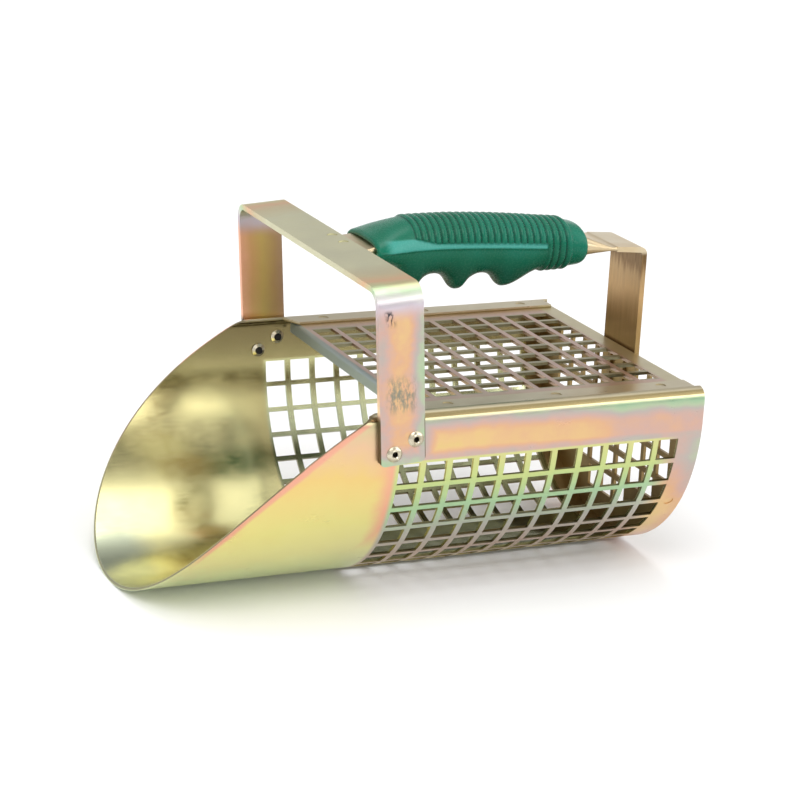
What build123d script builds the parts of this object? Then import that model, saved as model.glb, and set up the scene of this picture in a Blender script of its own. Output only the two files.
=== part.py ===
"""Beach sand scoop: a perforated sheet-steel basket with a bowed tube handle and a vinyl grip.

The mouth faces -X, the back faces +X, +Z is up.  The origin is on the ground, at the middle of
the overall length and of the width.  All lengths are millimetres.
"""
from math import cos, pi, radians, sin
import os

from build123d import *

os.makedirs("parts", exist_ok=True)

# ---------------------------------------------------------------- driving dimensions
overall_length = 270.0
sheet = 1.5
pitch = 13.5
girth_pitch = 13.2
hole = 10.7

basket_width = 171.0
basket_radius = basket_width / 2
wall_straight = 14.0
basket_top = basket_radius + wall_straight
fold_radius = 5.5
flange_inner_y = 69.5
flange_rear_gap = 3.0
mitre_front_x = -18.5
mitre_back_x = -13.5
lip_front_x = -overall_length / 2
lip_top_x = -37.0
lip_middle = (-105.6, 44.5)

leg_thickness = 2.6
rear_x = overall_length / 2 - leg_thickness
shell_columns = 11
first_shell_row = 2
last_shell_row = 9
column_start_x = -27.0

screen_half_width = 79.5
screen_front_x = -14.4
screen_lip_drop = 6.3
screen_bend = 2.0
screen_columns = 10
screen_rows = 9
screen_hole_center_x = 55.5

pan_flange = 10.0
pan_flange_top = 92.0
pan_bend = 2.0
back_row_counts = (9, 9, 9, 9, 7, 3)
back_first_row_z = basket_top - 0.7 * pitch

strap_width = 22.2
strap_thickness = 2.8
strap_lean = 4.0
strap_foot_x = -25.9
strap_foot_z = 86.0
strap_height = 74.2
strap_foot_drop = 9.2
strap_bend = 9.0
strap_corner = 2.5

tube_diameter = 21.3
flat_thickness = 2.6
corner_share = 0.47
leg_foot_corner = 3.0
tongue_front = -7.0
tongue_back = 13.0
leg_foot_z = 60.0
leg_top_z = 150.1
leg_bend = 4.0
bar_slope = 4.6

weld_diameter = 5.0
weld_depth = 0.35

rivet_shank = 4.0
rivet_bore = 2.6
rivet_hole = 4.1
rivet_head_diameter = 7.6
rivet_head_height = 1.5
rivet_tail_diameter = 6.8
rivet_tail_height = 1.1
mandrel_head_diameter = 3.9
mandrel_head_height = 1.4

# Rivet centres on the strap legs, as (x, z, y of the face the inner flare closes on).
upper_rivet = (-19.7, 88.4, basket_radius - sheet)
lower_rivet = (-29.9, 82.0, basket_radius - sheet - 0.4)

# ---------------------------------------------------------------- shared planes and helpers
lean = radians(strap_lean)
strap_plane = Plane(
    origin=(strap_foot_x, 0, strap_foot_z), x_dir=(0, 1, 0), z_dir=(cos(lean), 0, sin(lean))
)


def section_plane(x):
    """Plane across the basket at a given x, with Y to the right and Z up."""
    return Plane(origin=(x, 0, 0), x_dir=(0, 1, 0), z_dir=(1, 0, 0))


def wall_plane(x, angle):
    """Plane outside the round wall, facing inward; the angle is measured from the bottom."""
    out_y = sin(radians(angle))
    out_z = -cos(radians(angle))
    reach = basket_radius + 1.0
    origin = (x, out_y * reach, basket_radius + out_z * reach)
    return Plane(origin=origin, x_dir=(1, 0, 0), z_dir=(0, -out_y, -out_z))


def basket_outline(inset):
    """Lines of the closed U section, moved inward by the inset."""
    side = basket_radius - inset
    top = basket_top - inset
    corner = fold_radius - inset
    Line((-side, basket_radius), (-side, top - corner))
    RadiusArc((-side, top - corner), (-side + corner, top), corner)
    Line((-side + corner, top), (side - corner, top))
    RadiusArc((side - corner, top), (side, top - corner), corner)
    Line((side, top - corner), (side, basket_radius))
    ThreePointArc((side, basket_radius), (0, inset), (-side, basket_radius))


def slit_width(height):
    """Width of the round tube once it is pressed to the given height: its girth is kept."""
    return tube_diameter * pi / 2 - (pi / 2 - 1) * height


# ---------------------------------------------------------------- basket shell
with BuildPart() as basket_shell:
    with BuildSketch(section_plane(lip_front_x)):
        with BuildLine():
            basket_outline(0)
        make_face()
        with BuildLine():
            basket_outline(sheet)
        make_face(mode=Mode.SUBTRACT)
        with Locations((0, basket_top - sheet / 2)):
            Rectangle(2 * flange_inner_y, 2 * sheet, mode=Mode.SUBTRACT)
    extrude(amount=rear_x - lip_front_x)
    # The mouth: one long arc in side view, from the top fold down to the nose.
    with BuildSketch(Plane.XZ):
        with BuildLine():
            ThreePointArc((lip_top_x, basket_top), lip_middle, (lip_front_x, 0))
            Polyline((lip_front_x, 0), (lip_front_x - 5, 0), (lip_front_x - 5, basket_top + 5))
            Polyline((lip_front_x - 5, basket_top + 5), (lip_top_x, basket_top + 5))
            Line((lip_top_x, basket_top + 5), (lip_top_x, basket_top))
        make_face()
    extrude(amount=basket_width, both=True, mode=Mode.SUBTRACT)
    # The flanges are trimmed to the bend beside the strap and start with a mitre.
    bend_y = basket_radius - fold_radius
    with BuildSketch(Plane.XY.offset(basket_top + 1)):
        with BuildLine():
            Polyline(
                (lip_front_x, -bend_y), (mitre_front_x, -bend_y), (mitre_back_x, -flange_inner_y),
                (mitre_back_x, flange_inner_y), (mitre_front_x, bend_y), (lip_front_x, bend_y),
                close=True,
            )
        make_face()
        with Locations((rear_x - flange_rear_gap / 2, 0)):
            Rectangle(flange_rear_gap, 2 * bend_y)
    extrude(amount=-sheet - 2, mode=Mode.SUBTRACT)
    # Square holes in rows up both sides; the bottom keeps a solid strip, three rows wide.
    for row in range(first_shell_row, last_shell_row + 1):
        for side in (-1, 1):
            angle = side * row * girth_pitch / basket_radius * 180 / pi
            with BuildSketch(wall_plane(column_start_x + shell_columns * pitch / 2, angle)):
                with GridLocations(pitch, pitch, shell_columns, 1):
                    Rectangle(hole, hole)
            extrude(amount=4, mode=Mode.SUBTRACT)
    # Rivet holes through both walls.
    with BuildSketch(Plane.XZ):
        with Locations(upper_rivet[:2], lower_rivet[:2]):
            Circle(rivet_hole / 2)
    extrude(amount=basket_width, both=True, mode=Mode.SUBTRACT)
    # Spot-weld dimples on both flanges and around the rear margin.
    with BuildSketch(Plane.XY.offset(basket_top)):
        with Locations((57.8, 0)):
            with GridLocations(56.0, 150.0, 3, 2):
                Circle(weld_diameter / 2)
    extrude(amount=-weld_depth, mode=Mode.SUBTRACT)
    for angle in (-57, 0, 57):
        with BuildSketch(wall_plane(rear_x - 7, angle)):
            Circle(weld_diameter / 2)
        extrude(amount=1.0 + weld_depth, mode=Mode.SUBTRACT)
basket_shell.part.label = "basket_shell"
export_step(basket_shell.part, "parts/basket_shell.step")

# ---------------------------------------------------------------- top screen
screen_top = basket_top - sheet
back_face_x = rear_x - sheet
with BuildPart() as top_screen:
    with BuildSketch(Plane.XZ):
        with BuildLine():
            Polyline(
                (back_face_x, screen_top), (screen_front_x, screen_top),
                (screen_front_x, screen_top - screen_lip_drop),
                (screen_front_x + sheet, screen_top - screen_lip_drop),
                (screen_front_x + sheet, screen_top - sheet), (back_face_x, screen_top - sheet),
                close=True,
            )
        make_face()
    extrude(amount=screen_half_width, both=True)
    bend_edges = top_screen.edges().filter_by(Axis.Y)
    fillet(bend_edges.filter_by_position(Axis.X, screen_front_x - 0.1, screen_front_x + 0.1)
           .sort_by(Axis.Z)[-1], screen_bend)
    fillet(top_screen.edges().filter_by(Axis.X)
           .filter_by_position(Axis.Z, screen_top - screen_lip_drop - 0.1,
                               screen_top - screen_lip_drop + 0.1), 0.7)
    with BuildSketch(Plane.XY.offset(screen_top + 1)):
        with Locations((screen_hole_center_x, 0)):
            with GridLocations(pitch, pitch, screen_columns, screen_rows):
                Rectangle(hole, hole)
    extrude(amount=-4, mode=Mode.SUBTRACT)
top_screen.part.label = "top_screen"
export_step(top_screen.part, "parts/top_screen.step")

# ---------------------------------------------------------------- back screen
with BuildPart() as back_screen:
    with BuildSketch(section_plane(rear_x - pan_flange)):
        with BuildLine():
            basket_outline(sheet)
        make_face()
    extrude(amount=pan_flange)
    fillet(back_screen.faces().sort_by(Axis.X)[-1].edges(), pan_bend)
    with BuildSketch(section_plane(rear_x - pan_flange)):
        with BuildLine():
            basket_outline(2 * sheet)
        make_face()
    extrude(amount=pan_flange - sheet, mode=Mode.SUBTRACT)
    # The flange stops below the top screen; above it only the end plate is left.
    with BuildSketch(section_plane(rear_x - pan_flange)):
        with Locations((0, (pan_flange_top + basket_top) / 2)):
            Rectangle(basket_width, basket_top - pan_flange_top)
    extrude(amount=pan_flange - sheet, mode=Mode.SUBTRACT)
    with BuildSketch(section_plane(rear_x + 1)):
        for row, count in enumerate(back_row_counts):
            with Locations((0, back_first_row_z - row * pitch)):
                with GridLocations(pitch, pitch, count, 1):
                    Rectangle(hole, hole)
    extrude(amount=-4, mode=Mode.SUBTRACT)
back_screen.part.label = "back_screen"
export_step(back_screen.part, "parts/back_screen.step")

# ---------------------------------------------------------------- front strap
strap_foot = -strap_foot_drop
with BuildPart() as front_strap:
    with BuildSketch(strap_plane):
        for half_span, top, bend in (
            (basket_radius + strap_thickness, strap_height, strap_bend),
            (basket_radius, strap_height - strap_thickness, strap_bend - strap_thickness),
        ):
            with BuildLine():
                FilletPolyline(
                    (-half_span, strap_foot), (-half_span, top), (half_span, top),
                    (half_span, strap_foot), radius=bend,
                )
                Line((half_span, strap_foot), (-half_span, strap_foot))
            make_face(mode=Mode.ADD if top == strap_height else Mode.SUBTRACT)
    extrude(amount=strap_width / 2, both=True)
    fillet(front_strap.edges().filter_by(Axis.Y).sort_by(Axis.Z)[:4], strap_corner)
    with BuildSketch(Plane.XZ):
        with Locations(upper_rivet[:2], lower_rivet[:2]):
            Circle(rivet_hole / 2)
    extrude(amount=basket_width, both=True, mode=Mode.SUBTRACT)
    # Two spot-weld dimples where the handle tongue is joined from below.
    with BuildSketch(Plane(origin=strap_plane.from_local_coords((0, strap_height, 0)),
                           x_dir=strap_plane.z_dir, z_dir=strap_plane.y_dir)):
        with Locations((strap_width / 2 - 4.5, -7.0), (strap_width / 2 - 4.5, 7.0)):
            Circle(weld_diameter / 2)
    extrude(amount=-weld_depth, mode=Mode.SUBTRACT)
front_strap.part.label = "front_strap"
export_step(front_strap.part, "parts/front_strap.step")

# ---------------------------------------------------------------- handle tube
# Centre line: tangent to the tongue under the strap, bowed, then falling toward the back.
tongue_height = strap_height - strap_thickness - flat_thickness / 2
tongue_end = strap_plane.from_local_coords((0, tongue_height, tongue_back))
bar_end = (118.0, leg_top_z + (rear_x - 118.0) * sin(radians(bar_slope)))
bow = Spline(
    (tongue_end.X, tongue_end.Z), (12.0, 157.0), (62.0, 154.9), bar_end,
    tangents=((cos(lean), sin(lean)), (cos(radians(bar_slope)), -sin(radians(bar_slope)))),
)
bow_start_x = tongue_end.X


def bow_plane(x):
    """Plane square to the bowed centre line at the given x."""
    low, high = 0.0, 1.0
    for _ in range(40):
        middle = (low + high) / 2
        if bow.position_at(middle).X < x:
            low = middle
        else:
            high = middle
    spot = bow.position_at(middle)
    way = bow.tangent_at(middle)
    return Plane(origin=(spot.X, 0, spot.Y), x_dir=(0, 1, 0), z_dir=(way.X, 0, way.Y))


# Stations along the bow, as (x, tube height): pressed flat at both ends, round between.
# The corners stay a little under half the height, so that no flat side vanishes.
tube_stations = (
    (bow_start_x, 2.6), (-14.0, 2.9), (-8.0, 5.2), (0.0, 10.8), (8.0, 17.0), (15.0, 20.6),
    (21.0, tube_diameter), (52.0, tube_diameter), (80.0, tube_diameter), (86.0, 20.4),
    (93.0, 17.0), (98.0, 13.4), (102.0, 10.0), (107.0, 6.4), (113.0, 2.9), (118.0, 2.6),
)
with BuildPart() as tube_outside:
    for x, height in tube_stations:
        with BuildSketch(bow_plane(x)):
            RectangleRounded(slit_width(height), height, corner_share * height)
    loft(ruled=False)
with BuildPart() as handle_tube:
    add(tube_outside.part)
    # Tongue pressed flat under the strap.
    with BuildSketch(Plane(origin=tongue_end, x_dir=(0, 1, 0), z_dir=strap_plane.z_dir)):
        RectangleRounded(slit_width(flat_thickness), flat_thickness, corner_share * flat_thickness)
    extrude(amount=tongue_front - tongue_back)
    # Flat bar, bend and rear leg.
    half = flat_thickness / 2
    fall = (rear_x - bar_end[0]) * sin(radians(bar_slope))
    leg_back_x = rear_x + leg_thickness
    with BuildSketch(Plane.XZ):
        with BuildLine():
            FilletPolyline(
                (bar_end[0], bar_end[1] + half), (leg_back_x, bar_end[1] + half - fall),
                (leg_back_x, leg_foot_z), radius=leg_bend,
            )
            Line((leg_back_x, leg_foot_z), (rear_x, leg_foot_z))
            FilletPolyline(
                (rear_x, leg_foot_z), (rear_x, bar_end[1] - half - fall),
                (bar_end[0], bar_end[1] - half), radius=leg_bend - leg_thickness,
            )
            Line((bar_end[0], bar_end[1] - half), (bar_end[0], bar_end[1] + half))
        make_face()
    extrude(amount=slit_width(flat_thickness) / 2, both=True)
    fillet(handle_tube.edges().filter_by(Axis.X).sort_by(Axis.Z)[:2], leg_foot_corner)
    with BuildSketch(Plane.YZ.offset(rear_x + leg_thickness)):
        with Locations((0, basket_top - 1.7 * pitch)):
            with GridLocations(pitch, pitch, 2, 2):
                Circle(weld_diameter / 2)
    extrude(amount=-weld_depth, mode=Mode.SUBTRACT)
    # The bore is closed at both ends by the pressing.
    for x, height in tube_stations[3:13]:
        with BuildSketch(bow_plane(x)):
            RectangleRounded(slit_width(height) - flat_thickness, height - flat_thickness,
                             corner_share * (height - flat_thickness))
    loft(ruled=False, mode=Mode.SUBTRACT)
handle_tube.part.label = "handle_tube"
export_step(handle_tube.part, "parts/handle_tube.step")

# ---------------------------------------------------------------- vinyl grip
# Stations along the bow, as (x, half width, height above and below the centre line).
grip_stations = (
    (-11.5, 20.0, 5.4, 5.6), (-3.0, 19.2, 8.8, 9.5), (8.0, 16.8, 11.4, 12.6),
    (22.0, 14.8, 12.9, 14.4), (40.0, 14.2, 13.3, 14.8), (60.0, 14.0, 13.2, 14.6),
    (80.0, 13.6, 12.6, 13.0), (93.0, 14.4, 10.8, 12.0), (99.0, 15.4, 9.4, 10.6),
    (102.0, 14.9, 7.0, 7.8),
)


def grip_size(x):
    """Half width and heights of the grip at x, read between the stations."""
    for (x0, *low), (x1, *high) in zip(grip_stations, grip_stations[1:]):
        if x <= x1:
            share = (x - x0) / (x1 - x0)
            return [a + (b - a) * share for a, b in zip(low, high)]
    return list(grip_stations[-1][1:])


rib_start_x = 9.0
rib_pitch = 3.55
rib_count = 25
ring_start = 21
rib_height = 0.5
stop_tips_x = (11.8, 37.2, 62.6)
stop_tip_z = 132.6
stop_valley_z = 139.4
with BuildPart() as grip:
    for x, half_width, above, below in grip_stations:
        with BuildSketch(bow_plane(x)):
            with Locations((0, (above - below) / 2)):
                Ellipse(half_width, (above + below) / 2)
    loft(ruled=False)
    # Ribs across the top panel; the last ones run all the way round.
    for rib in range(rib_count):
        x = rib_start_x + rib * rib_pitch
        half_width, above, below = grip_size(x)
        with BuildSketch(bow_plane(x)):
            with Locations((0, (above - below) / 2)):
                Ellipse(half_width + rib_height, (above + below) / 2 + rib_height)
            if rib < ring_start:
                with Locations((0, -20)):
                    Rectangle(80, 40, mode=Mode.SUBTRACT)
        extrude(amount=0.45 * rib_pitch)
    # Finger stops below: three points with a round valley on each side.
    with BuildSketch(Plane.XZ):
        with BuildLine():
            ThreePointArc((-6.0, 143.0), (4.0, 139.2), (stop_tips_x[0] - 1, stop_tip_z))
            Line((stop_tips_x[0] - 1, stop_tip_z), (stop_tips_x[0] + 1, stop_tip_z))
            ThreePointArc((stop_tips_x[0] + 1, stop_tip_z), (24.5, stop_valley_z),
                          (stop_tips_x[1] - 1, stop_tip_z))
            Line((stop_tips_x[1] - 1, stop_tip_z), (stop_tips_x[1] + 1, stop_tip_z))
            ThreePointArc((stop_tips_x[1] + 1, stop_tip_z), (49.9, stop_valley_z),
                          (stop_tips_x[2] - 1, stop_tip_z))
            Line((stop_tips_x[2] - 1, stop_tip_z), (stop_tips_x[2] + 1, stop_tip_z))
            ThreePointArc((stop_tips_x[2] + 1, stop_tip_z), (69.0, 138.0), (80.0, 141.6))
            Polyline((80.0, 141.6), (80.0, 150.0), (-6.0, 150.0), (-6.0, 143.0))
        make_face()
    extrude(amount=8.5, both=True)
    add(tube_outside.part, mode=Mode.SUBTRACT)
grip.part.label = "grip"
export_step(grip.part, "parts/grip.step")

# ---------------------------------------------------------------- strap rivets
rivet_spots = [(side, *spot) for side in (-1, 1) for spot in (upper_rivet, lower_rivet)]
head_face = basket_radius + strap_thickness
head_top = head_face + rivet_head_height
with BuildPart() as strap_rivets:
    for side, x, z, inner_y in rivet_spots:
        with BuildSketch(Plane.XY.offset(z)):
            with BuildLine():
                Polyline(
                    (x + rivet_bore / 2 + 0.4, side * head_top),
                    (x + rivet_bore / 2, side * (head_top - 0.4)),
                    (x + rivet_bore / 2, side * (inner_y - rivet_tail_height)),
                    (x + rivet_shank / 2, side * (inner_y - rivet_tail_height)),
                    (x + rivet_tail_diameter / 2, side * (inner_y - 0.3)),
                    (x + rivet_tail_diameter / 2, side * inner_y),
                    (x + rivet_shank / 2, side * inner_y),
                    (x + rivet_shank / 2, side * head_face),
                    (x + rivet_head_diameter / 2, side * head_face),
                    (x + rivet_head_diameter / 2, side * (head_face + 0.25)),
                )
                ThreePointArc(
                    (x + rivet_head_diameter / 2, side * (head_face + 0.25)),
                    (x + 2.9, side * (head_face + 1.05)),
                    (x + rivet_bore / 2 + 0.4, side * head_top),
                )
            make_face()
        revolve(axis=Axis((x, 0, z), (0, 1, 0)))
strap_rivets.part.label = "strap_rivets"
export_step(strap_rivets.part, "parts/strap_rivets.step")

# ---------------------------------------------------------------- rivet mandrels
# The broken-off stems stay in the rivets, well below the heads.
stem_length = 3.4
with BuildPart() as rivet_mandrels:
    for side, x, z, inner_y in rivet_spots:
        tail = side * (inner_y - rivet_tail_height)
        with BuildSketch(Plane(origin=(x, tail, z), x_dir=(1, 0, 0), z_dir=(0, side, 0))):
            Circle(rivet_bore / 2)
        extrude(amount=stem_length)
        with BuildSketch(Plane(origin=(x, tail, z), x_dir=(1, 0, 0), z_dir=(0, -side, 0))):
            Circle(mandrel_head_diameter / 2)
        extrude(amount=mandrel_head_height, taper=18)
rivet_mandrels.part.label = "rivet_mandrels"
export_step(rivet_mandrels.part, "parts/rivet_mandrels.step")
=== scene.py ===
import math

import bpy
import numpy as np
from mathutils import Matrix, Vector


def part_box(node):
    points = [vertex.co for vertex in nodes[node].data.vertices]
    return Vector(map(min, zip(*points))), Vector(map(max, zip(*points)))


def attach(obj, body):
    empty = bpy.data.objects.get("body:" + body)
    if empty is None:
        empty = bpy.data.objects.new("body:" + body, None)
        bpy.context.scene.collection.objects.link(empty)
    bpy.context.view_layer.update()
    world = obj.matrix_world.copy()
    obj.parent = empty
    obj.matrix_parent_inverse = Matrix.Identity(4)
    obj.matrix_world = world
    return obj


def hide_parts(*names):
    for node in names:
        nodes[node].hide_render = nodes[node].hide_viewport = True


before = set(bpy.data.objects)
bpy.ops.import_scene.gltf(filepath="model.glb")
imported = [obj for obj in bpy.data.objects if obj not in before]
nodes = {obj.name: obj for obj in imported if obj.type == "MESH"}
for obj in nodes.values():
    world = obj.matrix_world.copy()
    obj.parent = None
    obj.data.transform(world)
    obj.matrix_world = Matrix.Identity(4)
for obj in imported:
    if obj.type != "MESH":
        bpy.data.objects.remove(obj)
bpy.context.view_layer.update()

MM = 0.001

# ------------------------------------------------------------------ places from the frame, in mm
basket_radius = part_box("basket_shell")[1].y / MM
basket_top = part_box("basket_shell")[1].z / MM
strap_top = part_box("front_strap")[1].z / MM
screen_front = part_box("top_screen")[0].x / MM
grip_lo, grip_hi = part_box("grip")
grip_front, grip_foot = grip_lo.x / MM, grip_lo.z / MM
grip_back, grip_top = grip_hi.x / MM, grip_hi.z / MM

# ------------------------------------------------------------------ sizes of the CAD, in mm
SHEET = 1.5
HOLE_PITCH = 13.5
FIRST_HOLE_X = -27.0
HOLES_END_X = 121.0
FIRST_ROW = 22.4
GIRTH_TO_BOTTOM = 148.0
ROUND_GIRTH = 134.0
FLANGE_Z = 98.3
# The nose lip's x over its height z: x = LIP_FOOT + LIP_SLOPE z + LIP_CURVE z^2.
LIP_FOOT = -135.0
LIP_SLOPE = 0.3984
LIP_CURVE = 0.005895
# The strap's middle line leans back over its height.
STRAP_FOOT_X = -25.9
STRAP_FOOT_Z = 86.0
STRAP_LEAN = 0.0699
STRAP_WIDTH = 22.2
# The flat top of the rear bar, and where the bend of the leg starts.
BAR_END_X = 130.0
BAR_LOW_Z = 147.0


def srgb(r, g, b):
    """An 8-bit sRGB colour as the linear RGBA that a socket takes."""
    parts = []
    for value in (r, g, b):
        value /= 255
        parts.append(value / 12.92 if value <= 0.04045 else ((value + 0.055) / 1.055) ** 2.4)
    return (*parts, 1.0)


def grey(level):
    """A linear grey as the RGBA that a socket takes."""
    return (level, level, level, 1)


# ------------------------------------------------------------------ node arithmetic
class Field:
    """A number that varies over a surface: one socket, with arithmetic that adds Math nodes."""

    def __init__(self, tree, socket):
        self.tree = tree
        self.socket = socket

    def math(self, operation, *others):
        node = self.tree.nodes.new("ShaderNodeMath")
        node.operation = operation
        for slot, value in zip(node.inputs, (self, *others)):
            if isinstance(value, Field):
                self.tree.links.new(value.socket, slot)
            else:
                slot.default_value = value
        return Field(self.tree, node.outputs[0])

    def __add__(self, other):
        return self.math("ADD", other)

    def __sub__(self, other):
        return self.math("SUBTRACT", other)

    def __mul__(self, other):
        return self.math("MULTIPLY", other)

    def __truediv__(self, other):
        return self.math("DIVIDE", other)

    def abs(self):
        return self.math("ABSOLUTE")

    def least(self, other):
        return self.math("MINIMUM", other)

    def most(self, other):
        return self.math("MAXIMUM", other)

    def step(self, low, high, low_value=0.0, high_value=1.0):
        """Smooth rise from low_value to high_value as the field goes from low to high."""
        node = self.tree.nodes.new("ShaderNodeMapRange")
        node.interpolation_type = "SMOOTHSTEP"
        self.tree.links.new(self.socket, node.inputs["Value"])
        node.inputs["From Min"].default_value = low
        node.inputs["From Max"].default_value = high
        node.inputs["To Min"].default_value = low_value
        node.inputs["To Max"].default_value = high_value
        return Field(self.tree, node.outputs["Result"])

    def ramp(self, stops):
        """Colour ramp over the field, from (place, colour) stops."""
        node = self.tree.nodes.new("ShaderNodeValToRGB")
        ramp = node.color_ramp
        while len(ramp.elements) < len(stops):
            ramp.elements.new(1.0)
        for element, (place, colour) in zip(ramp.elements, stops):
            element.position = place
            element.color = colour
        self.tree.links.new(self.socket, node.inputs[0])
        return Field(self.tree, node.outputs["Color"])

    def blend(self, low, high):
        """Mix of two colours: low where the field is 0, high where it is 1."""
        node = self.tree.nodes.new("ShaderNodeMix")
        node.data_type = "RGBA"
        self.tree.links.new(self.socket, node.inputs[0])
        for slot, value in ((node.inputs[6], low), (node.inputs[7], high)):
            if isinstance(value, Field):
                self.tree.links.new(value.socket, slot)
            else:
                slot.default_value = value
        return Field(self.tree, node.outputs[2])


def new_material(name):
    material = bpy.data.materials.new(name)
    material.use_nodes = True
    tree = material.node_tree
    shader = tree.nodes["Principled BSDF"]
    return material, tree, shader


def position(tree):
    """X, Y and Z over the surface, in millimetres, as three fields."""
    geometry = tree.nodes.new("ShaderNodeNewGeometry")
    scale = tree.nodes.new("ShaderNodeVectorMath")
    scale.operation = "SCALE"
    scale.inputs["Scale"].default_value = 1000.0
    split = tree.nodes.new("ShaderNodeSeparateXYZ")
    tree.links.new(geometry.outputs["Position"], scale.inputs[0])
    tree.links.new(scale.outputs[0], split.inputs[0])
    return [Field(tree, out) for out in split.outputs]


def noise(tree, size_mm, detail=3.0, stretch=(1, 1, 1), roughness=0.5):
    """Noise field, about 0 to 1, with features of the given size."""
    geometry = tree.nodes.new("ShaderNodeNewGeometry")
    mapping = tree.nodes.new("ShaderNodeMapping")
    mapping.inputs["Scale"].default_value = [1000.0 / size_mm / s for s in stretch]
    texture = tree.nodes.new("ShaderNodeTexNoise")
    texture.inputs["Scale"].default_value = 1.0
    texture.inputs["Detail"].default_value = detail
    texture.inputs["Roughness"].default_value = roughness
    tree.links.new(geometry.outputs["Position"], mapping.inputs["Vector"])
    tree.links.new(mapping.outputs["Vector"], texture.inputs["Vector"])
    return Field(tree, texture.outputs["Fac"])


def set_bump(tree, shader, height, strength, distance_mm):
    node = tree.nodes.new("ShaderNodeBump")
    node.inputs["Strength"].default_value = strength
    node.inputs["Distance"].default_value = distance_mm * MM
    tree.links.new(height.socket, node.inputs["Height"])
    tree.links.new(node.outputs["Normal"], shader.inputs["Normal"])


# ------------------------------------------------------------------ chromate film on steel
# The film's colour goes through these as it gets thicker, from a bare edge to a thick middle.
FILM = [
    (0.00, srgb(160, 190, 156)),
    (0.16, srgb(176, 192, 160)),
    (0.32, srgb(182, 173, 166)),
    (0.50, srgb(202, 168, 156)),
    (0.68, srgb(216, 172, 136)),
    (0.85, srgb(221, 187, 134)),
    (1.00, srgb(217, 196, 124)),
]


def film_finish(tree, shader, colour, roughness=0.34, bump=0.08):
    """Metal under the film: colour, uneven gloss and a fine rolled grain."""
    tree.links.new(colour.socket, shader.inputs["Base Color"])
    shader.inputs["Metallic"].default_value = 1.0
    grain = noise(tree, 1.1, detail=2.0, stretch=(6, 1, 1))
    blotch = noise(tree, 14.0, detail=2.0)
    gloss = grain.step(0.3, 0.7, -0.02, 0.02) + blotch.step(0.3, 0.7, -0.03, 0.04) + roughness
    tree.links.new(gloss.socket, shader.inputs["Roughness"])
    set_bump(tree, shader, grain * 0.2 + blotch, bump, 0.05)


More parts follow.
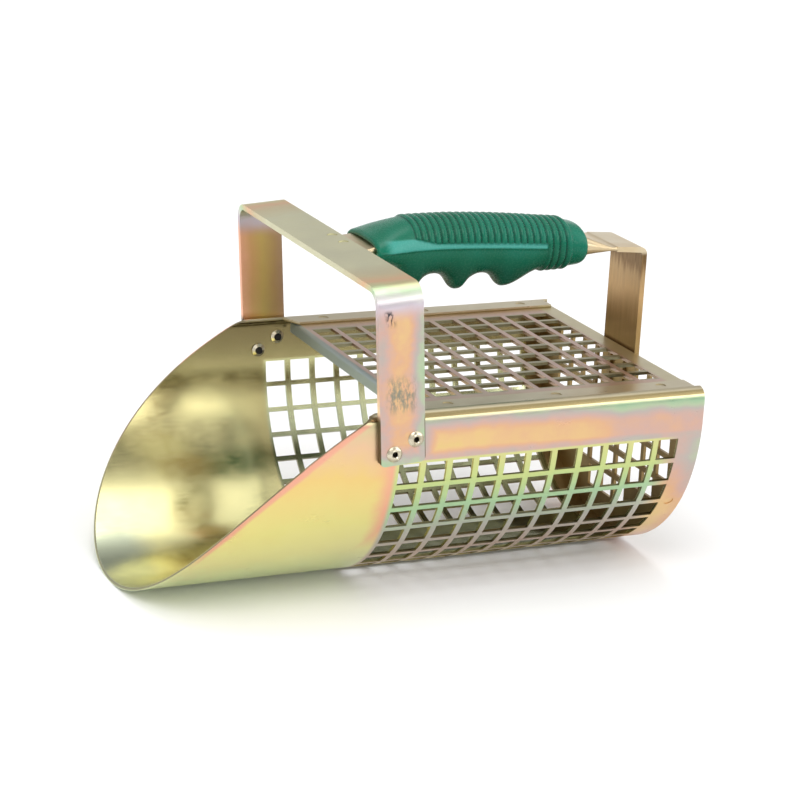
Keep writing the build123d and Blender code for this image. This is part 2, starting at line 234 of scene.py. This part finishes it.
def shell_material():
    material, tree, shader = new_material("chromate_shell")
    x, y, z = position(tree)
    # Girth below the top edge: straight wall first, then the round bottom.
    drop = (z * -1.0 + basket_radius).most(0.0)
    turn = drop.math("ARCTAN2", y.abs())
    girth = (z * -1.0 + basket_top).least(basket_top - basket_radius) + turn * basket_radius
    radius = (y * y + drop * drop).math("SQRT")
    outside = radius.step(basket_radius - 0.9, basket_radius - 0.6)
    wander = noise(tree, 42.0, detail=2.0)
    ripple = noise(tree, 7.0, detail=3.0)
    stray = wander.step(0.3, 0.7, -0.10, 0.10) + ripple.step(0.3, 0.7, -0.04, 0.04)
    # Nose: yellow, greener and paler low down, with orange and pink only at the lip and by the first
    # holes. The near-white low stops are painted light: a painted reflection of a lit floor that lifts the
    # shade low on the nose.
    from_lip = x - (z * LIP_SLOPE + z * z * LIP_CURVE + LIP_FOOT)
    from_holes = x * -1.0 + FIRST_HOLE_X
    nose = (girth / GIRTH_TO_BOTTOM + stray * 0.2).ramp([
        (0.00, srgb(196, 196, 150)),
        (0.10, srgb(222, 186, 150)),
        (0.20, srgb(226, 196, 126)),
        (0.38, srgb(224, 216, 142)),
        (0.52, srgb(228, 222, 160)),
        (0.64, srgb(230, 236, 186)),
        (1.00, srgb(236, 246, 212)),
    ])
    fringe = from_lip.step(0.0, 5.0, 0.30, 1.0).least(from_holes.step(-2.0, 13.0, 0.35, 1.0))
    fringe = fringe.most(girth.step(44.0, 84.0))
    nose = (fringe + stray).step(0.3, 1.0).blend(srgb(228, 166, 142), nose)
    # Film on the margin between the top fold and the first row of holes, thinner toward the rear.
    margin = girth.step(3.0, 13.0, 0.14, 0.68) + x.step(-25.0, 150.0, 0.20, -0.17)
    margin = margin.least(girth.step(16.5, 22.0, 0.86, 0.40)).least(x.step(-14.0, -3.0, 0.42, 1.0))
    fold_highlight = girth.step(2.6, 4.6, 1.0, 0.0)
    # Bars between the holes, by girth.
    bars = (girth / ROUND_GIRTH + stray * 0.15).ramp([
        (0.17, srgb(206, 204, 140)),
        (0.27, srgb(190, 204, 136)),
        (0.37, srgb(166, 198, 156)),
        (0.50, srgb(180, 178, 168)),
        (0.68, srgb(196, 172, 156)),
        (0.86, srgb(186, 168, 124)),
        (1.00, srgb(168, 162, 120)),
    ])
    # Solid rear margin: like the top margin beside it, then thicker film down to the bottom.
    rear = (x.step(121.0, 131.5, 0.44, 0.30) + girth.step(30.0, 75.0, 0.0, 0.36)
            - girth.step(90.0, 125.0, 0.0, 0.16))
    beside = girth.step(20.0, 28.0, 1.0, 0.0)
    rear = beside * (margin - 0.02) + (beside * -1.0 + 1.0) * rear
    film = (margin + stray).ramp(FILM)
    film = girth.step(FIRST_ROW, FIRST_ROW + 1.0, 1.0, 0.0).blend(bars, film)
    film = x.step(108.0, 122.0).blend(film, (rear + stray).ramp(FILM))
    film = x.step(FIRST_HOLE_X - 2.0, FIRST_HOLE_X + 1.0, 1.0, 0.0).blend(film, nose)
    # Painted highlight: the band along the top fold is given a pale yellow.
    film = fold_highlight.blend(film, srgb(226, 218, 170))
    # Inside, the film is thicker and more even, and olive close under the fold.
    inner = (girth / ROUND_GIRTH + stray * 0.12).ramp([
        (0.04, srgb(138, 124, 88)),
        (0.14, srgb(164, 152, 108)),
        (0.24, srgb(218, 208, 150)),
        (0.60, srgb(222, 214, 158)),
        (1.00, srgb(208, 204, 150)),
    ])
    inner_bars = (girth / ROUND_GIRTH).ramp([
        (0.22, srgb(226, 224, 170)),
        (0.42, srgb(214, 222, 184)),
        (0.54, srgb(160, 166, 132)),
        (0.80, srgb(142, 144, 108)),
    ])
    on_bars = x.step(FIRST_HOLE_X - 1.0, FIRST_HOLE_X + 1.0) * girth.step(FIRST_ROW, FIRST_ROW + 1.0)
    inner = on_bars.blend(inner, inner_bars)
    # Low inside the nose tip the colour is a greyer olive: a painted dark reflection.
    tip = x.step(-118.0, -98.0, 1.0, 0.0) * girth.step(92.0, 118.0)
    inner = tip.blend(inner, srgb(168, 174, 150))
    flange = (wander + ripple * 0.4 - 0.2).blend(srgb(190, 182, 152), srgb(186, 172, 146))
    inner = z.step(FLANGE_Z, FLANGE_Z + 0.6).blend(inner, flange)
    film = outside.blend(inner, film)
    # The cut walls of the holes, between the two faces of the sheet, are given a dark olive colour.
    inner_face = basket_radius - SHEET
    hole_wall = radius.step(inner_face + 0.05, inner_face + 0.2)
    hole_wall = hole_wall * radius.step(basket_radius - 0.25, basket_radius - 0.12, 1.0, 0.0)
    hole_wall = hole_wall * girth.step(FIRST_ROW - 0.4, FIRST_ROW + 0.6)
    hole_wall = hole_wall * x.step(HOLES_END_X, HOLES_END_X + 1.0, 1.0, 0.0)
    film = (hole_wall * 0.8).blend(film, srgb(126, 120, 84))
    roughness = outside.most(z.step(97.0, 98.5)).step(0.0, 1.0, 0.20, 0.32)
    film_finish(tree, shader, film, roughness, 0.05)
    return material


def strap_material():
    """Film, thinner at the edges, with bands around the bends that are partly a painted highlight, a worn
    patch, a dark nick and painted shade on the cut edges by the wall.
    """
    material, tree, shader = new_material("chromate_strap")
    x, y, z = position(tree)
    across = x + (z - STRAP_FOOT_Z) * STRAP_LEAN - STRAP_FOOT_X
    wander = noise(tree, 22.0, detail=3.0)
    ripple = noise(tree, 4.0, detail=3.0)
    stray = wander.step(0.3, 0.7, -0.10, 0.10) + ripple.step(0.3, 0.7, -0.05, 0.05)
    near = y.step(-80.0, -60.0, 1.0, 0.0)
    centre = across.abs().step(1.5, 11.0, 0.74, 0.44)
    right = across.step(2.5, 10.5, 0.0, -0.26)
    legs = (centre + right).least(z.step(76.0, 92.0, 0.10, 0.95)) + stray
    legs_near = legs.ramp(FILM)
    legs_far = (across / STRAP_WIDTH + stray * 0.3 + 0.5).ramp([
        (0.00, srgb(238, 180, 148)),
        (0.25, srgb(212, 168, 116)),
        (0.50, srgb(200, 174, 106)),
        (0.80, srgb(184, 154, 108)),
        (1.00, srgb(178, 148, 122)),
    ])
    film = near.blend(legs_far, legs_near)
    # Distance over the bar, around the bend and down the leg.
    along = y.abs() - z + strap_top
    # Film bands around the bend; the whitish and lilac stops are partly a painted highlight on the bend.
    bend = ((along + stray * 12.0 - 50.0) / 60.0).ramp([
        (0.00, srgb(208, 205, 172)),
        (0.26, srgb(206, 192, 154)),
        (0.42, srgb(220, 180, 140)),
        (0.54, srgb(204, 202, 158)),
        (0.62, srgb(188, 212, 172)),
        (0.71, srgb(214, 214, 206)),
        (0.79, srgb(204, 194, 202)),
        (0.90, srgb(206, 174, 170)),
    ])
    film = along.step(98.0, 106.0).blend(bend, film)
    # Worn patch on the near leg, streaked downward, and one dark nick above it.
    streak = noise(tree, 3.6, detail=4.0, stretch=(0.5, 1, 1.5), roughness=0.7)
    patch = z.step(99.0, 106.0) * z.step(113.0, 121.0, 1.0, 0.0) * across.step(-9.0, -5.0)
    patch = patch * across.step(4.0, 9.0, 1.0, 0.0) * near
    film = (patch * streak.step(0.42, 0.62)).blend(film, srgb(142, 138, 122))
    nick_z = 146.0
    nick = (across + 5.2 + (z - nick_z) * 0.2).abs().step(0.8, 3.2, 1.0, 0.0)
    nick = nick * z.step(nick_z - 5.5, nick_z) * z.step(nick_z + 1.5, nick_z + 4.0, 1.0, 0.0) * near
    film = (nick * streak.step(0.44, 0.54)).blend(film, srgb(58, 58, 64))
    # The cut edges keep little film; low down, where they meet the wall, they are painted dark brown as
    # painted shade and a painted dark reflection of the wall.
    shaded_cut_edge = across.abs().step(STRAP_WIDTH / 2 - 0.5, STRAP_WIDTH / 2 - 0.1)
    film = (shaded_cut_edge * z.step(97.0, 101.0, 1.0, 0.0)).blend(film, srgb(92, 82, 60))
    film_finish(tree, shader, film, 0.36)
    return material


def top_screen_material():
    """Pinkish bars along the width, greyer ones along the length and a pale front lip."""
    material, tree, shader = new_material("chromate_screen")
    x, y, z = position(tree)
    wander = noise(tree, 30.0, detail=3.0)
    ripple = noise(tree, 5.0, detail=3.0)
    film = (wander.step(0.35, 0.65) * 0.6 + ripple.step(0.3, 0.7, 0.0, 0.4)).blend(
        srgb(176, 158, 138), srgb(186, 156, 146))
    in_row = x.step(screen_front + 3.0, screen_front + 4.0) * y.abs().step(60.4, 61.0, 1.0, 0.0)
    first_column_x = -5.25
    column = ((x - first_column_x) / HOLE_PITCH + 0.5).math("FRACT") - 0.5
    film = (column.abs().step(0.385, 0.395, 1.0, 0.0) * in_row).blend(film, srgb(150, 145, 116))
    film = y.abs().step(60.0, 72.0).blend(film, srgb(188, 162, 132))
    film = x.step(121.0, 124.0).blend(film, srgb(188, 178, 146))
    lip = x.step(-13.4, -12.6, 1.0, 0.0)
    film = lip.blend(film, srgb(160, 172, 172))
    film_finish(tree, shader, film, lip.step(0.0, 1.0, 0.36, 0.5))
    return material


def tube_material():
    """Brown-tan film: pale on the flat bar, dark under the bend and brushed down the leg."""
    material, tree, shader = new_material("chromate_tube")
    x, y, z = position(tree)
    wander = noise(tree, 26.0, detail=3.0)
    brush = noise(tree, 2.2, detail=3.0, stretch=(1, 1, 16))
    tan = wander.step(0.35, 0.65).blend(srgb(214, 202, 176), srgb(206, 186, 150))
    leg = (z / 160.0 + brush.step(0.3, 0.7, -0.02, 0.02)).ramp([
        (0.50, srgb(150, 128, 84)),
        (0.70, srgb(160, 130, 84)),
        (0.79, srgb(190, 156, 110)),
        (0.85, srgb(172, 144, 104)),
        (0.885, srgb(112, 88, 60)),
        (0.92, srgb(104, 84, 58)),
    ])
    leg = (brush.step(0.3, 0.7) * 0.35).blend(leg, srgb(176, 142, 98))
    on_leg = x.step(BAR_END_X, BAR_END_X + 1.0) * z.step(BAR_LOW_Z, BAR_LOW_Z + 2.5, 1.0, 0.0)
    film = on_leg.blend(tan, leg)
    film_finish(tree, shader, film, 0.34)
    return material


def sheet_material(name, low, high, roughness=0.36):
    """Even, slightly dull film that drifts between two colours."""
    material, tree, shader = new_material(name)
    wander = noise(tree, 30.0, detail=4.0)
    film = wander.step(0.35, 0.65).blend(low, high)
    film_finish(tree, shader, film, roughness)
    return material


def metal_material(name, low, high, roughness, metallic=1.0):
    """Small bare metal parts, spotted in colour and gloss."""
    material, tree, shader = new_material(name)
    wander = noise(tree, 2.5, detail=3.0)
    colour = wander.step(0.35, 0.65).blend(low, high)
    tree.links.new(colour.socket, shader.inputs["Base Color"])
    gloss = wander.step(0.3, 0.7, roughness - 0.06, roughness + 0.08)
    tree.links.new(gloss.socket, shader.inputs["Roughness"])
    shader.inputs["Metallic"].default_value = metallic
    set_bump(tree, shader, wander, 0.15, 0.05)
    return material


def vinyl_material():
    """Glossy dipped vinyl, deep green, with faint pores, painted shade in the grooves and underneath and a
    painted highlight on the side facet.
    """
    material, tree, shader = new_material("green_vinyl")
    wander = noise(tree, 18.0, detail=3.0)
    pores = noise(tree, 0.9, detail=2.0)
    colour = wander.step(0.3, 0.7).blend(srgb(0, 93, 68), srgb(0, 102, 80))
    # The grooves between the ribs are painted darker as painted shade, the side facet paler as a painted
    # highlight and the body below it darker as painted shade.
    x, y, z = position(tree)
    cube, square, slope, level = bow.tolist()
    above_bow = z - (((x * cube + square) * x + slope) * x + level)
    facet_top = x.step(6.0, 24.0, 4.4, 1.4)
    groove_shade = ((x - RIBS_FROM) / RIB_PITCH * math.pi).math("SINE").abs().step(0.0, 0.6, 1.0, 0.0)
    ribbed = x.step(RIBS_FROM - 0.4, RIBS_FROM + 0.2) * x.step(RINGS_TO - 0.5, RINGS_TO, 1.0, 0.0)
    over_facet = (above_bow - facet_top).step(0.0, 1.0)
    ribbed = ribbed * over_facet.most(x.step(RINGS_FROM - 0.4, RINGS_FROM))
    colour = (groove_shade * ribbed * 0.75).blend(colour, srgb(0, 46, 36))
    # Painted highlight: the side facet is given a paler blue-green.
    facet = above_bow.step(-1.0, 0.0) * (over_facet * -1.0 + 1.0)
    facet = facet * x.step(RINGS_FROM - 2.0, RINGS_FROM, 1.0, 0.0)
    colour = (facet * x.step(-9.0, -3.0) * 0.8).blend(colour, srgb(62, 148, 136))
    # Painted shade: the body below the bow line is given a darker green.
    colour = above_bow.step(-16.0, -1.0, 0.6, 0.0).blend(colour, srgb(0, 60, 42))
    tree.links.new(colour.socket, shader.inputs["Base Color"])
    gloss = pores.step(0.3, 0.7, 0.22, 0.30)
    tree.links.new(gloss.socket, shader.inputs["Roughness"])
    shader.inputs["Specular IOR Level"].default_value = 0.24
    set_bump(tree, shader, pores, 0.06, 0.05)
    return material


def dress(node, material):
    """Gives a CAD node its material, keeping its mesh."""
    mesh = nodes[node].data
    mesh.materials.clear()
    mesh.materials.append(material)


dress("basket_shell", shell_material())
dress("front_strap", strap_material())
dress("top_screen", top_screen_material())
dress("back_screen", sheet_material("chromate_back", srgb(150, 128, 86), srgb(132, 110, 74)))
dress("handle_tube", tube_material())
dress("strap_rivets", metal_material("rivet_metal", srgb(206, 198, 176), srgb(178, 168, 144), 0.3))
# The mandrels are near black: painted shade for the dark hollow in each rivet.
dress("rivet_mandrels", metal_material("mandrel_shade_black", srgb(34, 31, 28), srgb(20, 19, 18), 0.6, 0.4))


# ------------------------------------------------------------------ vinyl grip
# Height of the bowed tube's middle line over x, as a cubic.
bow = np.polyfit([-17.0, 12.0, 62.0, 118.0], [156.6, 157.0, 154.9, 151.2], 3)
# Ribs and rings, finger stops, and the ridge along the side.
RIB_PITCH = 3.55
RIB_HEIGHT = 1.15
RIBS_FROM = 9.0
RINGS_FROM = 81.5
RINGS_TO = 94.2
STOP_TIPS = (11.8, 37.4, 62.8)
STOP_SPACING = 25.4
STOP_FADE = 18.0
STOP_DEPTH = 7.0
HOLLOW_RADIUS = 11.4
RIDGE_HEIGHT = 1.1
# The steel tube inside the grip, and the gap to it: close fitting, but wider at the open front.
TUBE_DIAMETER = 21.3
TUBE_GAP = 0.15
FRONT_GAP = 1.1
FRONT_LENGTH = 6.0
# Rounding of the two ends of the grip.
BACK_ROUNDING = 2.8
FRONT_ROUNDING = 1.6
# Fineness of its mesh: points around, sections along the outside and along the bore.
AROUND = 180
OUTER_RINGS = 440
BORE_RINGS = 80


def smooth(x, points, spread):
    """Table of (x, value) read with eased steps between the points."""
    xs, values = zip(*points)
    spacing = 0.2
    fine = np.arange(min(xs) - 20, max(xs) + 20, spacing)
    table = np.interp(fine, xs, values)
    kernel = np.hanning(int(spread / spacing) * 2 + 1)
    reach = len(kernel) // 2
    padded = np.pad(table, reach, mode="edge")
    table = np.convolve(padded, kernel / kernel.sum(), mode="valid")
    return np.interp(x, fine, table)


def rise(value, low, high):
    """Eased 0 to 1 as the value goes from low to high."""
    t = np.clip((value - low) / (high - low), 0, 1)
    return t * t * (3 - 2 * t)


def grip_sizes(x):
    """Half width, height above and depth below the bow line, without ribs or finger stops."""
    half = smooth(x, [(-12, 20.0), (-3, 19.0), (8, 16.6), (22, 14.6), (40, 14.0), (60, 13.8), (80, 13.6),
                      (93, 14.4), (99, 15.3), (104, 15.0)], 5.0)
    above = smooth(x, [(-12, 5.4), (-3, 8.8), (8, 11.6), (20, 12.1), (33, 12.5), (55, 12.5), (72, 12.1),
                       (82, 11.7), (93, 11.5), (99, 10.4), (104, 9.6)], 5.0)
    below = smooth(x, [(-12, 5.6), (-3, 9.6), (8, 13.2), (22, 15.4), (40, 15.6), (60, 15.2), (72, 14.6),
                       (80, 13.4), (93, 12.0), (99, 10.7), (104, 9.8)], 5.0)
    return half, above, below


def finger_stops(x):
    """Depth of the finger stops, 0 to 1: rounded points with round hollows between them."""
    fine = np.arange(-40, 140, 0.1)
    total = np.zeros_like(fine)
    for tip in STOP_TIPS:
        from_hollow = np.clip(STOP_SPACING / 2 - np.abs(fine - tip), 0, HOLLOW_RADIUS - 0.8)
        arc = HOLLOW_RADIUS - np.sqrt(HOLLOW_RADIUS ** 2 - from_hollow ** 2)
        total = np.maximum(total, np.clip(arc / STOP_DEPTH, 0, 1))
    past = np.clip((fine - STOP_TIPS[-1]) / STOP_FADE, 0, 1)
    total = np.where(fine > STOP_TIPS[-1], np.cos(past * math.pi / 2) ** 2, total)
    kernel = np.hanning(45)
    total = np.convolve(total, kernel / kernel.sum(), mode="same")
    return np.interp(x, fine, total)


def tube_sizes(x):
    """Half width and half height of the pressed tube inside the grip, with a little clearance."""
    places = [-17, -14, -8, 0, 8, 15, 21, 80, 86, 93, 98, 102, 107]
    heights = [2.6, 2.9, 5.2, 10.8, 17, 20.6, TUBE_DIAMETER, TUBE_DIAMETER, 20.4, 17, 13.4, 10, 6.4]
    height = np.interp(x, places, heights)
    # A pressed tube keeps its girth, so it gets wider as it gets lower.
    width = TUBE_DIAMETER * math.pi / 2 - (math.pi / 2 - 1) * height
    clearance = TUBE_GAP + FRONT_GAP * (1 - rise(x, grip_front, grip_front + FRONT_LENGTH))
    return width / 2 + clearance, height / 2 + clearance


def make_grip():
    """Closed mesh of the vinyl grip: the ribbed outside, and the bore that the tube runs through."""
    x = np.linspace(grip_front, grip_back, OUTER_RINGS)[:, None]
    turn = np.linspace(0, 2 * math.pi, AROUND, endpoint=False)
    sine = np.sin(turn)[None, :]
    cosine = np.cos(turn)[None, :]
    half, above, below = grip_sizes(x)
    # Upper half is a flattened oval; the lower half narrows into the finger stops.
    y = half * np.sign(sine) * np.abs(sine) ** np.where(cosine > 0, 0.86, 0.80)
    up = np.clip(cosine, 0, 1) ** 0.92 * above
    down = np.clip(-cosine, 0, 1) ** 0.92 * below
    z = up - down
    centre = np.polyval(bow, x)
    keel = np.clip(-cosine, 0, 1) ** 2.4 * finger_stops(x)
    z -= keel * (centre - below - grip_foot)
    # Facet along both sides: wide at the front, then a thin parting ridge.
    facet = smooth(x, [(-12, 0.6), (-2, 4.4), (8, 4.6), (20, 1.6), (40, 1.0), (90, 1.0)], 3.0)
    ridge = rise(z, -1.3, -0.2) * (1 - np.clip((z + 0.2) / (facet + 0.2), 0, 1))
    ridge = ridge * (1 - rise(x, RINGS_FROM - 2.0, RINGS_FROM))
    ridge = ridge * rise(x, grip_front, grip_front + FRONT_LENGTH)
    # Ribs over the top, rings all the way round at the back.
    wave = np.abs(np.sin((x - RIBS_FROM) / RIB_PITCH * math.pi)) ** 0.75
    over_top = rise(z, facet + 0.2, facet + 1.0) * rise(x, RIBS_FROM - 0.2, RIBS_FROM + 0.4)
    ring = rise(x, RINGS_FROM - 0.3, RINGS_FROM + 0.3)
    rib = wave * np.maximum(over_top, ring) * (1 - rise(x, RINGS_TO - 0.5, RINGS_TO))
    swell = RIB_HEIGHT * rib + RIDGE_HEIGHT * ridge
    length = np.sqrt(y ** 2 + z ** 2) + 1e-6
    y = y * (1 + swell / length)
    z = z * (1 + swell / length)
    # Rounded edges at both ends.
    back = np.clip((x - (grip_back - BACK_ROUNDING)) / BACK_ROUNDING, 0, 1)
    front = np.clip((grip_front + FRONT_ROUNDING - x) / FRONT_ROUNDING, 0, 1)
    back_round = 1 - np.sqrt(1 - back ** 2)
    front_round = 1 - np.sqrt(1 - front ** 2)
    y *= 1 - (back_round + front_round) / half
    z *= 1 - 2.2 * back_round / np.minimum(above, below) - 1.4 * front_round / above
    outer = np.stack([x + 0 * y, y, np.clip(centre + z, grip_foot, grip_top)], -1)
    bore_x = np.linspace(grip_back, grip_front, BORE_RINGS)[:, None]
    tube_half, tube_high = tube_sizes(bore_x)
    bore_y = tube_half * sine
    bore_z = tube_high * np.sign(cosine) * np.abs(cosine) ** 0.6
    bore = np.stack([bore_x + 0 * bore_y, bore_y, np.polyval(bow, bore_x) + bore_z], -1)
    rings = list(outer) + list(bore)
    verts = (np.concatenate(rings) * MM).tolist()
    faces = []
    count = len(rings)
    for i in range(count):
        j = (i + 1) % count
        for k in range(AROUND):
            m = (k + 1) % AROUND
            faces.append((i * AROUND + k, j * AROUND + k, j * AROUND + m, i * AROUND + m))
    mesh = bpy.data.meshes.new("vinyl_grip")
    mesh.from_pydata(verts, [], faces)
    mesh.update()
    for polygon in mesh.polygons:
        polygon.use_smooth = True
    piece = bpy.data.objects.new("vinyl_grip", mesh)
    bpy.context.scene.collection.objects.link(piece)
    mesh.materials.append(vinyl_material())
    return piece


grip = make_grip()
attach(grip, "root")
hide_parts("grip")


# ------------------------------------------------------------------ floor, light and camera
def make_floor():
    """Plain matt floor."""
    mesh = bpy.data.meshes.new("floor")
    reach = 8.0
    mesh.from_pydata([(-reach, -reach, 0), (reach, -reach, 0), (reach, reach, 0), (-reach, reach, 0)],
                     [], [(0, 1, 2, 3)])
    floor = bpy.data.objects.new("floor", mesh)
    bpy.context.scene.collection.objects.link(floor)
    material, tree, shader = new_material("floor_white")
    shader.inputs["Base Color"].default_value = grey(0.84)
    shader.inputs["Roughness"].default_value = 0.9
    shader.inputs["Specular IOR Level"].default_value = 0.0
    mesh.materials.append(material)


# Brightness of the studio by angle over the object, from (place, level) stops: 0 is the front
# horizon, 0.5 is overhead and 1 the rear horizon.  To the right the light is one broad panel,
# without the dark band low in front.
BANDS = [
    (0.00, 0.50), (0.045, 0.7), (0.08, 4.2), (0.13, 4.2), (0.18, 0.5), (0.22, 0.28), (0.32, 0.28),
    (0.39, 1.2), (0.45, 3.6), (0.60, 3.6), (0.67, 1.2), (0.75, 0.5), (0.83, 0.6), (0.90, 1.0), (1.00, 1.0),
]
RIGHT_BANDS = [
    (0.00, 0.45), (0.05, 0.55), (0.09, 1.4), (0.16, 3.0), (0.32, 2.4), (0.48, 1.5), (0.60, 1.0),
    (0.70, 0.6), (0.83, 0.7), (0.90, 1.0), (1.00, 1.0),
]
SOFT_LEVEL = 1.25
DIM_LEVEL = 0.55
BACKDROP_LEVEL = 0.93


def studio_bands(angle, bands, brightest=math.inf):
    """Grey light over the angle, with no band brighter than the given level."""
    return angle.ramp([(place, grey(min(level, brightest))) for place, level in bands])


def make_world():
    """Soft studio all round: bright bands low in front and overhead, dimmer gaps between them."""
    world = bpy.data.worlds.new("studio")
    world.use_nodes = True
    bpy.context.scene.world = world
    tree = world.node_tree
    background = tree.nodes["Background"]
    coordinates = tree.nodes.new("ShaderNodeTexCoord")
    split = tree.nodes.new("ShaderNodeSeparateXYZ")
    tree.links.new(coordinates.outputs["Generated"], split.inputs[0])
    x, y, z = [Field(tree, out) for out in split.outputs]
    # Angle over the object from the front horizon, 0 to 1 for 0 to 180 degrees.
    angle = z.math("ARCTAN2", y * -1.0) / math.pi
    # From left to right: softened bands, the full bands, a dim gap and the right-hand panel.
    full = studio_bands(angle, BANDS)
    right = studio_bands(angle, RIGHT_BANDS)
    dim = studio_bands(angle, BANDS, DIM_LEVEL)
    soft = studio_bands(angle, BANDS, SOFT_LEVEL)
    glow = x.step(-0.02, 0.12).blend(soft, full)
    glow = x.step(0.30, 0.33).blend(glow, dim)
    glow = x.step(0.38, 0.42).blend(glow, right)
    path = tree.nodes.new("ShaderNodeLightPath")
    seen = Field(tree, path.outputs["Is Camera Ray"]).blend(glow, grey(BACKDROP_LEVEL))
    tree.links.new(seen.socket, background.inputs["Color"])


def make_light(name, place, target, size, watts):
    """Rectangular soft light at a place, turned to a target."""
    light = bpy.data.lights.new(name, "AREA")
    light.shape = "RECTANGLE"
    light.size, light.size_y = size
    light.energy = watts
    lamp = bpy.data.objects.new(name, light)
    lamp.location = place
    lamp.rotation_mode = "QUATERNION"
    lamp.rotation_quaternion = (Vector(target) - Vector(place)).to_track_quat("-Z", "Y")
    bpy.context.scene.collection.objects.link(lamp)


# Place in metres, lens in millimetres, and azimuth, elevation and roll in degrees.
CAMERA_PLACE = (-0.4886, -1.0811, 0.4476)
CAMERA_LENS = 115.04
CAMERA_ANGLES = (-24.86, 17.26, 3.02)


def make_camera():
    """At 25 degrees to the left of the side and 17 above, with a slight roll."""
    data = bpy.data.cameras.new("camera")
    data.sensor_width = 36
    data.lens = CAMERA_LENS
    data.clip_end = 50
    camera = bpy.data.objects.new("camera", data)
    azimuth, elevation, roll = (math.radians(angle) for angle in CAMERA_ANGLES)
    back = Vector((math.sin(azimuth) * math.cos(elevation), -math.cos(azimuth) * math.cos(elevation),
                   math.sin(elevation)))
    turn = (-back).to_track_quat("-Z", "Y").to_matrix().to_4x4()
    camera.matrix_world = Matrix.Translation(CAMERA_PLACE) @ turn @ Matrix.Rotation(roll, 4, "Z")
    bpy.context.scene.collection.objects.link(camera)
    bpy.context.scene.camera = camera


# A plain display curve, so that white stays white and the greens stay clear.
bpy.context.scene.view_settings.view_transform = "Standard"
make_floor()
make_world()
make_light("key", (-0.7, -1.0, 1.5), (0, 0, 0.08), (1.0, 1.0), 14)
make_camera()
